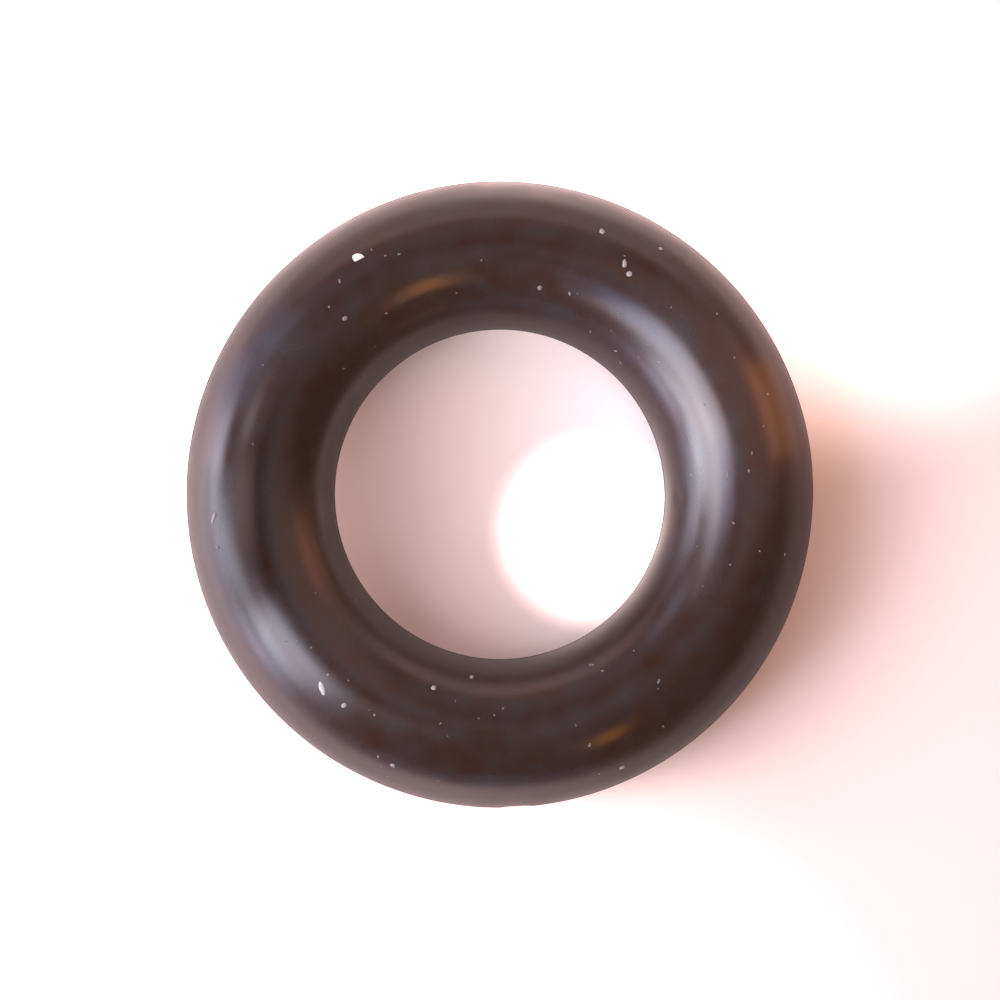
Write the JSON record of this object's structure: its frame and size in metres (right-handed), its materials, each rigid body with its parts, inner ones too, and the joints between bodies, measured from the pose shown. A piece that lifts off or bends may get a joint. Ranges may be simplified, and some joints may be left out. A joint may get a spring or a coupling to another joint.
{
  "type": "o-ring",
  "caption": "Rubber sealing ring of round section, for a shaft groove, a housing bore or a joint between flat faces.",
  "frame": {"origin": "centre of the ring, on its axis, halfway through its thickness", "axes": "+Z along the ring's axis, out of the plane that it lies in; +X and +Y in that plane, and alike because the ring is turned about +Z"},
  "size_m": [0.0086, 0.0086, 0.002],
  "materials": {
    "rubber": "satin"
  },
  "bodies": {
    "root": {"o_ring": "rubber"}
  },
  "joints": []
}
